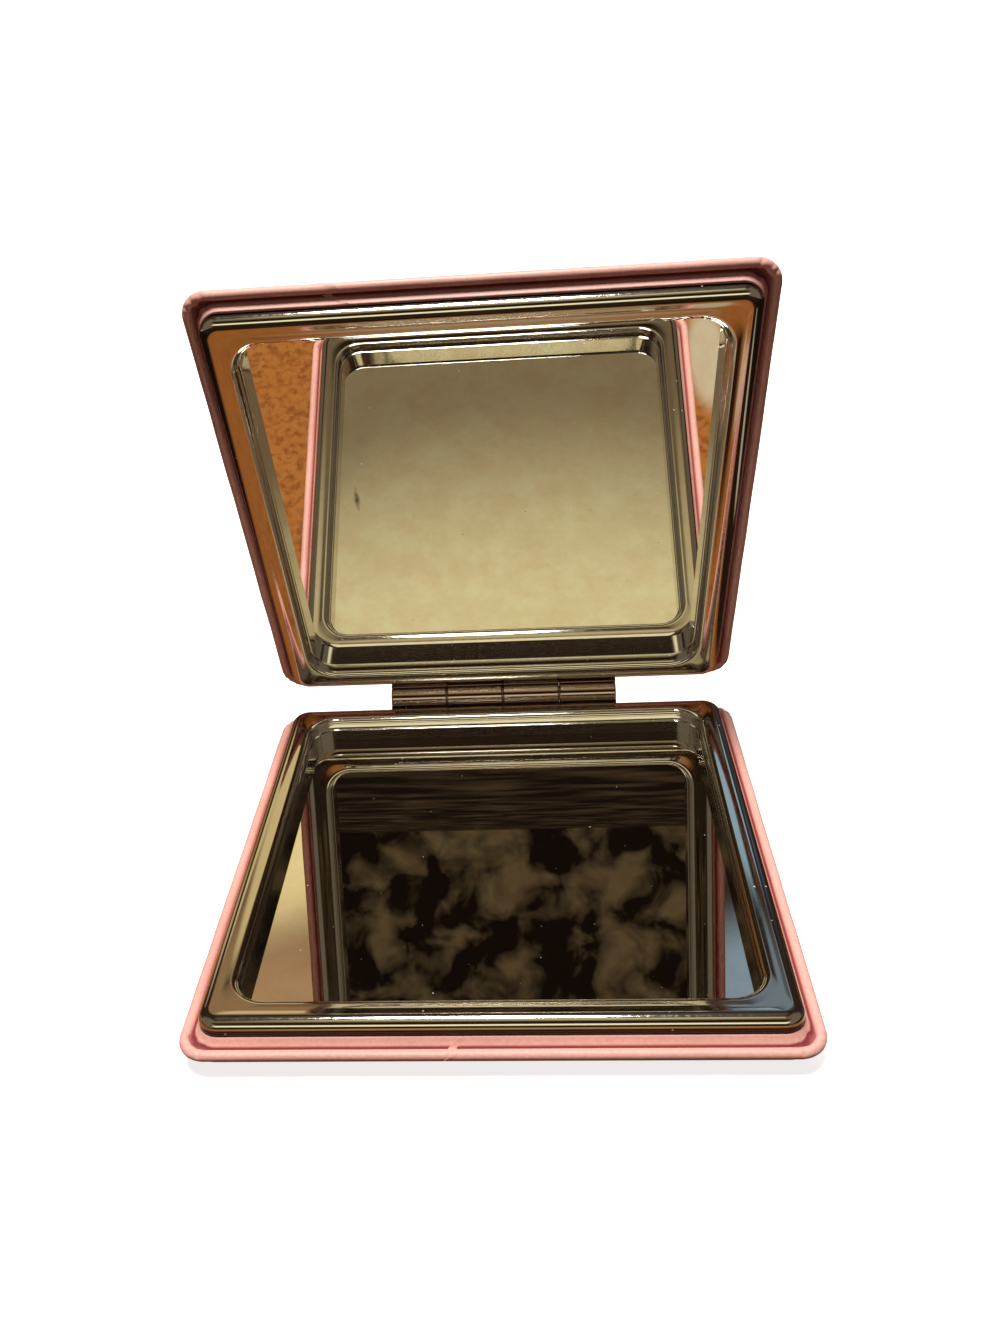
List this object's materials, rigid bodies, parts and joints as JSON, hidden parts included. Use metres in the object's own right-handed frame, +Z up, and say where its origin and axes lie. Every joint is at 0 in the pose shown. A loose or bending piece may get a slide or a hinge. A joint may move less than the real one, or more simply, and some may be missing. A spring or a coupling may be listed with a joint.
{
  "type": "compact mirror",
  "caption": "Square folding compact mirror with two framed mirrors, padded wrapped halves and a friction hinge along the back edge.",
  "frame": {"origin": "middle of the padded face that the base rests on", "axes": "+Z up out of the base mirror, +Y towards the hinge, +X to the right of someone who looks at the hinge over the base"},
  "size_m": [0.07, 0.075, 0.0738],
  "materials": {
    "leatherette": "fine grain",
    "foam": "open foam",
    "shell_plastic": "moulded",
    "chrome": "polished",
    "mirror": "silvered behind",
    "adhesive": "film",
    "magnet": "nickel plated",
    "steel": "plated"
  },
  "bodies": {
    "base": {"base_cover_panel": "leatherette", "base_foam_pad": "foam", "base_shell": "shell_plastic", "base_edge_band": "leatherette", "base_frame": "chrome", "base_mirror": "mirror", "base_mirror_tape": "adhesive", "base_magnets": "magnet", "base_hinge_leaf": "chrome", "base_leaf_rivets": "steel", "hinge_pin": "steel"},
    "lid": {"lid_cover_panel": "leatherette", "lid_foam_pad": "foam", "lid_shell": "shell_plastic", "lid_edge_band": "leatherette", "lid_frame": "chrome", "lid_mirror": "mirror", "lid_mirror_tape": "adhesive", "lid_magnets": "magnet", "lid_hinge_leaf": "chrome", "lid_leaf_rivets": "steel"}
  },
  "joints": [
    {"name": "lid_hinge", "type": "hinge", "parent": "base", "child": "lid", "pos_m": [0, 0.03517, 0.00635], "axis": [-1, 0, 0], "range_deg": [-71, 109]}
  ]
}
